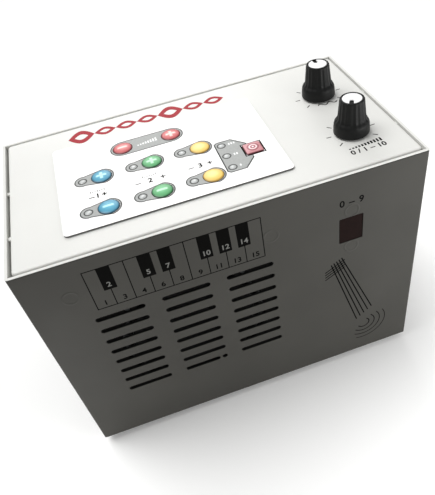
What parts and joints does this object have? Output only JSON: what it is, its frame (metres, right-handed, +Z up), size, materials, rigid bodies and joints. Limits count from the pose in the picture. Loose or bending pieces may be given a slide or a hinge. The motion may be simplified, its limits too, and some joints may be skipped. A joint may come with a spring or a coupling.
{
  "type": "electronic tanpura",
  "caption": "Desktop electronic drone box with a slotted loudspeaker front, a pitch display window, a membrane keypad and skirted volume and tone knobs on top.",
  "frame": {"origin": "on the table under the middle of the footprint, which takes in the sockets' reach behind the cabinet; the feet stand on Z = 0", "axes": "+X to the right seen from the front, +Y from the slotted front towards the back, +Z up; metres"},
  "size_m": [0.229, 0.1324, 0.1903],
  "materials": {
    "shell_paint": "satin warm grey paint on folded sheet",
    "plate_paint": "satin off-white paint",
    "printed_film": "white printed film with a soft gloss",
    "circuit_film": "smooth",
    "red_dome": "translucent coloured dome",
    "blue_dome": "translucent coloured dome",
    "green_dome": "translucent coloured dome",
    "yellow_dome": "translucent coloured dome",
    "mode_dome": "translucent coloured dome",
    "knob_plastic": "fine satin moulding",
    "cap_plastic": "smooth",
    "foot_rubber": "matt",
    "plated_steel": "zinc plated",
    "pot_metal": "plated",
    "window_plastic": "dark red, glossy",
    "digit_plastic": "smooth",
    "circuit_board": "solder mask",
    "baffle_board": "raw fibreboard",
    "gasket_felt": "felt",
    "basket_steel": "plated pressing",
    "surround_rubber": "matt",
    "cone_paper": "pressed paper pulp",
    "magnet_ferrite": "ground ceramic",
    "sink_aluminium": "extruded",
    "core_steel": "varnished laminations",
    "winding_tape": "polyester tape",
    "socket_plastic": "moulded",
    "lead_insulation": "flexible"
  },
  "bodies": {
    "cabinet": {"cabinet_shell": "shell_paint", "base_plate": "shell_paint", "top_plate": "plate_paint", "keypad_overlay": "printed_film", "keypad_circuit": "circuit_film", "foot_front_left": "foot_rubber", "foot_front_right": "foot_rubber", "foot_back_left": "foot_rubber", "foot_back_right": "foot_rubber", "foot_screw_front_left": "plated_steel", "foot_screw_front_right": "plated_steel", "foot_screw_back_left": "plated_steel", "foot_screw_back_right": "plated_steel", "volume_pot_nut": "plated_steel", "tone_pot_nut": "plated_steel", "baffle_clip": "plated_steel", "speaker_front_plate": "plated_steel", "speaker_pole": "plated_steel", "transformer_strap": "plated_steel", "line_out_nut": "plated_steel", "volume_pot": "pot_metal", "tone_pot": "pot_metal", "display_filter": "window_plastic", "display_digit": "digit_plastic", "display_board": "circuit_board", "main_board": "circuit_board", "speaker_baffle": "baffle_board", "speaker_gasket": "gasket_felt", "speaker_basket": "basket_steel", "speaker_surround": "surround_rubber", "speaker_magnet": "magnet_ferrite", "heat_sink": "sink_aluminium", "transformer_core": "core_steel", "transformer_winding": "winding_tape", "mains_inlet": "socket_plastic", "line_out_jack": "socket_plastic", "speaker_lead": "lead_insulation", "volume_lead": "lead_insulation", "tone_lead": "lead_insulation", "mains_lead": "lead_insulation", "transformer_lead": "lead_insulation", "line_out_lead": "lead_insulation", "display_lead": "lead_insulation"},
    "volume_control": {"volume_knob": "knob_plastic", "volume_knob_cap": "cap_plastic", "volume_shaft": "plated_steel"},
    "tone_control": {"tone_knob": "knob_plastic", "tone_knob_cap": "cap_plastic", "tone_shaft": "plated_steel"},
    "cone": {"speaker_cone": "cone_paper", "speaker_dust_cap": "cone_paper"},
    "button_main_down": {"key_main_down": "red_dome"},
    "button_main_up": {"key_main_up": "red_dome"},
    "button_fine_up": {"key_fine_up": "blue_dome"},
    "button_fine_down": {"key_fine_down": "blue_dome"},
    "button_manual_up": {"key_manual_up": "green_dome"},
    "button_manual_down": {"key_manual_down": "green_dome"},
    "button_tempo_up": {"key_tempo_up": "yellow_dome"},
    "button_tempo_down": {"key_tempo_down": "yellow_dome"},
    "button_mode": {"key_mode": "mode_dome"}
  },
  "joints": [
    {"name": "volume_turn", "type": "hinge", "parent": "cabinet", "child": "volume_control", "pos_m": [0.0857, -0.03035, 0.1685], "axis": [0, 0, -1], "range_deg": [0, 300]},
    {"name": "tone_turn", "type": "hinge", "parent": "cabinet", "child": "tone_control", "pos_m": [0.0857, 0.01635, 0.1685], "axis": [0, 0, -1], "range_deg": [-150, 150]},
    {"name": "main_down_press", "type": "slide", "parent": "cabinet", "child": "button_main_down", "axis": [0, 0, -1], "range_m": [0, 0.0005], "stiffness_N_per_m": 500},
    {"name": "main_up_press", "type": "slide", "parent": "cabinet", "child": "button_main_up", "axis": [0, 0, -1], "range_m": [0, 0.0005], "stiffness_N_per_m": 500},
    {"name": "fine_up_press", "type": "slide", "parent": "cabinet", "child": "button_fine_up", "axis": [0, 0, -1], "range_m": [0, 0.0005], "stiffness_N_per_m": 500},
    {"name": "fine_down_press", "type": "slide", "parent": "cabinet", "child": "button_fine_down", "axis": [0, 0, -1], "range_m": [0, 0.0005], "stiffness_N_per_m": 500},
    {"name": "manual_up_press", "type": "slide", "parent": "cabinet", "child": "button_manual_up", "axis": [0, 0, -1], "range_m": [0, 0.0005], "stiffness_N_per_m": 500},
    {"name": "manual_down_press", "type": "slide", "parent": "cabinet", "child": "button_manual_down", "axis": [0, 0, -1], "range_m": [0, 0.0005], "stiffness_N_per_m": 500},
    {"name": "tempo_up_press", "type": "slide", "parent": "cabinet", "child": "button_tempo_up", "axis": [0, 0, -1], "range_m": [0, 0.0005], "stiffness_N_per_m": 500},
    {"name": "tempo_down_press", "type": "slide", "parent": "cabinet", "child": "button_tempo_down", "axis": [0, 0, -1], "range_m": [0, 0.0005], "stiffness_N_per_m": 500},
    {"name": "mode_press", "type": "slide", "parent": "cabinet", "child": "button_mode", "axis": [0, 0, -1], "range_m": [0, 0.0005], "stiffness_N_per_m": 500},
    {"name": "cone_stroke", "type": "slide", "parent": "cabinet", "child": "cone", "axis": [0, 1, 0], "range_m": [-0.0008, 0.0008], "stiffness_N_per_m": 1000}
  ]
}
